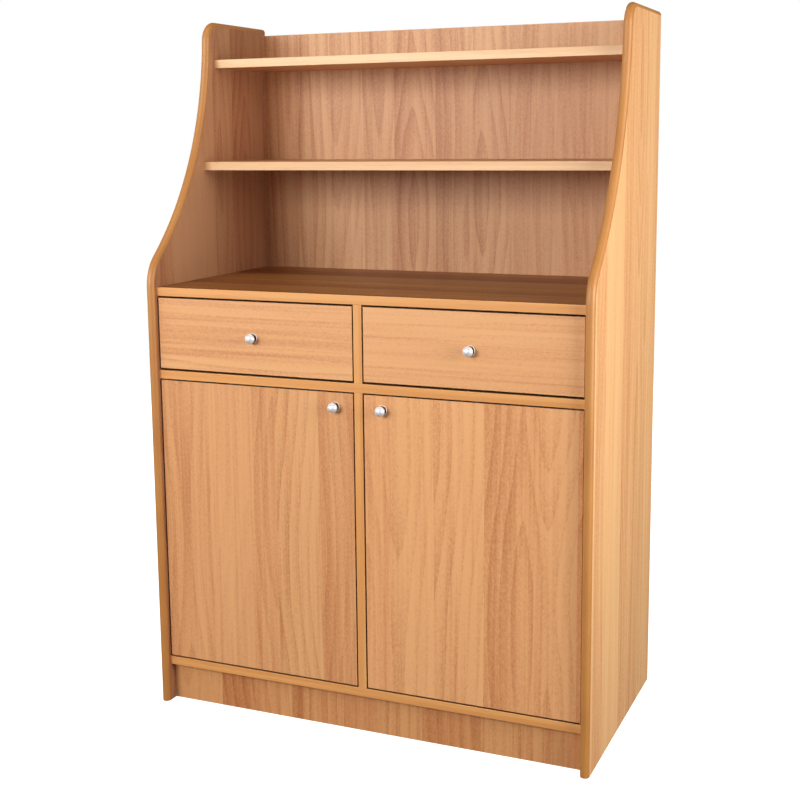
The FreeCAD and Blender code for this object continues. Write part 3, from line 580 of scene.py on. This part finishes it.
# the section's foot is drawn in beside the board, which leaves a fine groove there
FOOT_SET_IN = 0.35 * MM

SECTION_POINTS = 48
SHOULDER_STEPS = 16
HOLLOW_STEPS = 28
CORNER_STEPS = 20

side_low, side_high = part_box("left_side_panel")
worktop_low, worktop_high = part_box("worktop")
profile_low, profile_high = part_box("left_edge_profile")


def edge_profile(name, node, middle_x):
    """A half-round section run up the front, over the shoulder, up the hollow and along the top."""
    rear = side_high.y
    depth = rear - profile_low.y
    top = profile_high.z
    shoulder_z = worktop_high.z

    # the hollow is centred level with the top; it touches the shoulder's round and the top's depth
    run = depth - SHOULDER - TOP_DEPTH
    drop = top - shoulder_z
    hollow = (run ** 2 + drop ** 2 - SHOULDER ** 2) / (2 * (run + SHOULDER))
    shoulder_y = rear - depth + SHOULDER
    hollow_y = rear - TOP_DEPTH - hollow
    corner_y = hollow_y + math.sqrt((hollow + CORNER) ** 2 - CORNER ** 2)
    shoulder_turn = math.atan2(drop, shoulder_y - hollow_y)
    corner_turn = math.asin(CORNER / (hollow + CORNER))

    base_y = rear - depth + NOSE
    bpy.ops.object.select_all(action="DESELECT")
    bpy.ops.mesh.primitive_circle_add(vertices=SECTION_POINTS, radius=NOSE,
                                      location=(middle_x, base_y, 0))
    piece = bpy.context.object
    piece.name = name
    take(piece)
    bpy.ops.object.transform_apply(location=True, rotation=True, scale=True)
    pick(piece, lambda place: place.y > base_y - ON_PLANE)
    bpy.ops.transform.resize(value=(1 - FOOT_SET_IN / NOSE, 0, 1),
                             center_override=(middle_x, base_y, 0))
    bpy.ops.mesh.select_all(action="SELECT")
    bpy.ops.mesh.extrude_region_move(TRANSFORM_OT_translate={"value": (0, 0, shoulder_z)})
    bpy.ops.mesh.spin(steps=SHOULDER_STEPS, angle=shoulder_turn,
                      center=(middle_x, shoulder_y, shoulder_z), axis=(1, 0, 0))
    bpy.ops.mesh.spin(steps=HOLLOW_STEPS, angle=shoulder_turn - corner_turn,
                      center=(middle_x, hollow_y, top), axis=(-1, 0, 0))
    bpy.ops.mesh.spin(steps=CORNER_STEPS, angle=math.radians(90) - corner_turn,
                      center=(middle_x, corner_y, top - CORNER), axis=(1, 0, 0))
    bpy.ops.mesh.extrude_region_move(TRANSFORM_OT_translate={"value": (0, rear - corner_y, 0)})
    bpy.ops.mesh.edge_face_add()
    pick(piece, lambda place: place.z < ON_PLANE)
    bpy.ops.mesh.edge_face_add()
    bpy.ops.mesh.select_all(action="SELECT")
    bpy.ops.mesh.remove_doubles(threshold=MERGE_WITHIN)
    bpy.ops.mesh.normals_make_consistent(inside=False)
    leave()
    piece.data.materials.append(profile_finish)
    settle(piece, PROFILE_SMOOTHING)
    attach(piece, "cabinet")
    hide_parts(node)


side_middle = (side_low.x + side_high.x) / 2
edge_profile("left_rounded_edge", "left_edge_profile", side_middle)
edge_profile("right_rounded_edge", "right_edge_profile", -side_middle)


# --- drawers and doors --------------------------------------------------------------------------

# A knob's turned outline. Its places are distances out from the front, and the edge of its base
# is given as (in from the rim, out from the front).
BASE_EDGE = ((0.0, 0.0), (0.0, 1.3 * MM), (0.2 * MM, 1.7 * MM), (0.6 * MM, 1.95 * MM),
             (1.5 * MM, 2.1 * MM))
CAP_SHARE = 10 / 10.2
NECK_SHARE = 0.52
FOOT_SHARE = 1.15
FOOT_OUT = 2.4 * MM
NECK_START = 3.0 * MM
NECK_END = 5.6 * MM
FLARE_STEPS = 8
FLARE_LENGTH = 4.2 * MM
LIP_SHARE = 0.98
CAP_START = 10.2 * MM
CAP_END = 13.6 * MM
DOME_SHARES = (0.985, 0.95, 0.9, 0.84, 0.76, 0.66, 0.54, 0.4, 0.24, 0.1)
DOME_POWER = 2.6
# where the neck's painted shade begins and ends, out from the front
RECESS_SHADE_START = 2.0 * MM
RECESS_SHADE_END = 9.9 * MM
TURNED_POINTS = 64


def knob(node, body):
    """A turned knob: ringed base, narrow neck, flared cap with a domed face."""
    low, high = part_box(node)
    middle_x, middle_z = (low.x + high.x) / 2, (low.z + high.z) / 2
    reach = high.y - low.y
    base = (high.x - low.x) / 2
    cap = base * CAP_SHARE
    neck = cap * NECK_SHARE
    flare = cap * LIP_SHARE - neck
    dome = reach - CAP_END
    rings = [(base - inward, out) for inward, out in BASE_EDGE]
    rings += [(neck * FOOT_SHARE, FOOT_OUT), (neck, NECK_START), (neck, NECK_END)]
    for step in range(1, FLARE_STEPS + 1):
        turn = math.radians(90 * step / FLARE_STEPS)
        rings.append((neck + flare * (1 - math.cos(turn)), NECK_END + FLARE_LENGTH * math.sin(turn)))
    rings += [(cap, CAP_START), (cap, CAP_END)]
    for share in DOME_SHARES:
        rings.append((cap * share, CAP_END + dome * (1 - share ** DOME_POWER)))

    bpy.ops.object.select_all(action="DESELECT")
    bpy.ops.mesh.primitive_circle_add(vertices=TURNED_POINTS, radius=base,
                                      location=(middle_x, high.y, middle_z),
                                      rotation=(math.radians(90), 0, 0))
    piece = bpy.context.object
    piece.name = node + "_turned"
    take(piece)
    bpy.ops.object.transform_apply(location=True, rotation=True, scale=True)
    edit(piece)
    bpy.ops.mesh.select_all(action="SELECT")
    for (radius, out), (next_radius, next_out) in zip(rings, rings[1:]):
        bpy.ops.mesh.extrude_region_move(TRANSFORM_OT_translate={"value": (0, out - next_out, 0)})
        share = next_radius / radius
        bpy.ops.transform.resize(value=(share, 1, share),
                                 center_override=(middle_x, high.y - next_out, middle_z))
    bpy.ops.mesh.edge_face_add()
    pick(piece, lambda place: place.y > high.y - ON_PLANE)
    bpy.ops.mesh.edge_face_add()
    bpy.ops.mesh.select_all(action="SELECT")
    bpy.ops.mesh.normals_make_consistent(inside=False)
    leave()
    piece.data.materials.append(knob_finish)
    piece.data.materials.append(recess_shade_finish)
    # the neck's faces take the dark finish: painted shade in the hollow
    for face in piece.data.polygons:
        if RECESS_SHADE_START < high.y - face.center.y < RECESS_SHADE_END:
            face.material_index = 1
    settle(piece, KNOB_SMOOTHING)
    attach(piece, body)
    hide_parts(node)


# the edges that face the gaps take the dark band: painted shade of the gaps
FRONT_GAP_SHADES = [(front_edge_band, ["-x", "-z", "+z"], BAND_WRAP), (front_edge_band, ["+x"], ON_PLANE)]

# the left door takes a darker print than the right: painted shade
for side, drawer_shift, door_shift, door_tone in (("left", 31.7, 37.8, LEFT_DOOR_SHADE_TONE),
                                                  ("right", 38.27, 44.37, RIGHT_DOOR_TONE)):
    drawer = side + "_drawer_set"
    door = side + "_door_set"
    drawer_print = laminate(side + "_drawer_print", "z", "x", drawer_shift, DRAWER_TONE)
    board(side + "_drawer_front", drawer, drawer_print, ALL_EDGES, FRONT_GAP_SHADES)
    door_print = laminate(side + "_door_print", "x", "z", door_shift, door_tone)
    board(side + "_door", door, door_print, ALL_EDGES, FRONT_GAP_SHADES)
    knob(side + "_drawer_knob", drawer)
    knob(side + "_door_knob", door)
    paint([side + part for part in ("_drawer_outer_side", "_drawer_inner_side", "_drawer_back")],
          box_board)
    paint([side + "_drawer_floor"], fibreboard)
    paint([side + "_cabinet_runners", side + "_drawer_runners"], runner_paint)
    paint([side + "_front_rollers", side + "_rear_rollers"], nylon)
    paint([side + "_drawer_dowels"], dowel_beech)
    paint([side + part for part in ("_drawer_screws", "_drawer_knob_screw", "_door_knob_screw",
                                    "_door_pivots", "_door_strike")], zinc)

paint(["lower_back_sheet"], fibreboard)
paint(["shelf_pins", "runner_screws", "cam_discs", "cam_bolts"], zinc)
paint(["door_catches"], nylon)
# the pivot bushes are dark: painted shade in the gap under the doors
paint(["pivot_bushes"], shaded_brown_nylon)
paint(["dowels"], dowel_beech)


# --- floor, light and camera --------------------------------------------------------------------

FLOOR_SIZE = 60
FLOOR_GREY = (0.5, 0.5, 0.5)
FLOOR_GLOW = 0.95
WORLD_STRENGTH = 0.14
WHITE = (1.0, 1.0, 1.0)


def studio_floor():
    """A pale floor that the cabinet neither takes light from nor mirrors."""
    bpy.ops.object.select_all(action="DESELECT")
    bpy.ops.mesh.primitive_plane_add(size=FLOOR_SIZE, location=(0, 0, 0))
    floor = bpy.context.object
    floor.name = "studio_floor"
    pale = Finish("pale_floor", Roughness=0.9, Base_Color=FLOOR_GREY, Specular_IOR_Level=0.0,
                  Emission_Color=WHITE, Emission_Strength=FLOOR_GLOW)
    floor.data.materials.append(pale.material)
    floor.visible_diffuse = False
    floor.visible_glossy = False


def softbox(name, place, target, width, height, power):
    """A soft rectangular lamp at a place, turned to a target. Its power is in watts."""
    lamp = bpy.data.lights.new(name, "AREA")
    lamp.shape = "RECTANGLE"
    lamp.size = width
    lamp.size_y = height
    lamp.energy = power
    holder = bpy.data.objects.new(name, lamp)
    bpy.context.scene.collection.objects.link(holder)
    holder.location = place
    holder.rotation_euler = (Vector(target) - Vector(place)).to_track_quat("-Z", "Y").to_euler()


def studio_world():
    """Weak white light from all sides, behind which the camera sees plain white."""
    world = bpy.data.worlds.new("studio")
    world.use_nodes = True
    bpy.context.scene.world = world
    nodes, links = world.node_tree.nodes, world.node_tree.links
    background = nodes["Background"]
    background.inputs["Color"].default_value = WHITE + (1.0,)
    background.inputs["Strength"].default_value = WORLD_STRENGTH
    seen = nodes.new("ShaderNodeBackground")
    seen.inputs["Color"].default_value = WHITE + (1.0,)
    mixer = nodes.new("ShaderNodeMixShader")
    path = nodes.new("ShaderNodeLightPath")
    links.new(path.outputs["Is Camera Ray"], mixer.inputs[0])
    links.new(background.outputs[0], mixer.inputs[1])
    links.new(seen.outputs[0], mixer.inputs[2])
    links.new(mixer.outputs[0], nodes["World Output"].inputs["Surface"])


studio_floor()
studio_world()
softbox("front_left", (-1.3, -3.2, 1.75), target=(0.0, -0.1, 0.85), width=1.8, height=1.2, power=87)
softbox("left_fill", (-2.7, -1.5, 1.45), target=(0.0, -0.1, 0.85), width=1.6, height=2.0, power=24)
softbox("side_right", (2.15, -0.6, 1.2), target=(0.45, -0.4, 0.85), width=1.2, height=1.5, power=53)
softbox("overhead", (-0.2, -0.55, 2.75), target=(-0.1, -0.3, 0.9), width=1.0, height=0.5, power=6)
softbox("rear", (-1.2, 3.4, 1.5), target=(0.0, 0.0, 0.8), width=1.4, height=1.6, power=95)
bpy.context.scene.view_settings.view_transform = "Standard"

# the camera stands right of the middle, above the worktop, and looks a little down
IMAGE_PIXELS = 800
SENSOR = 36.0
CAMERA_PLACE = (1.061, -2.4965, 1.190)
CAMERA_YAW = 23.23
CAMERA_PITCH = 9.02
CAMERA_ROLL = 0.56
FOCAL_PIXELS = 1313.7
HORIZON_RISE_PIXELS = 54

camera_data = bpy.data.cameras.new("camera")
camera_data.sensor_width = SENSOR
camera_data.lens = FOCAL_PIXELS * SENSOR / IMAGE_PIXELS
camera_data.shift_y = -HORIZON_RISE_PIXELS / IMAGE_PIXELS
camera = bpy.data.objects.new("camera", camera_data)
bpy.context.scene.collection.objects.link(camera)
turn = Matrix.Rotation(math.radians(CAMERA_YAW), 4, "Z")
turn = turn @ Matrix.Rotation(math.radians(90 - CAMERA_PITCH), 4, "X")
turn = turn @ Matrix.Rotation(math.radians(-CAMERA_ROLL), 4, "Z")
camera.matrix_world = Matrix.Translation(CAMERA_PLACE) @ turn
bpy.context.scene.camera = camera
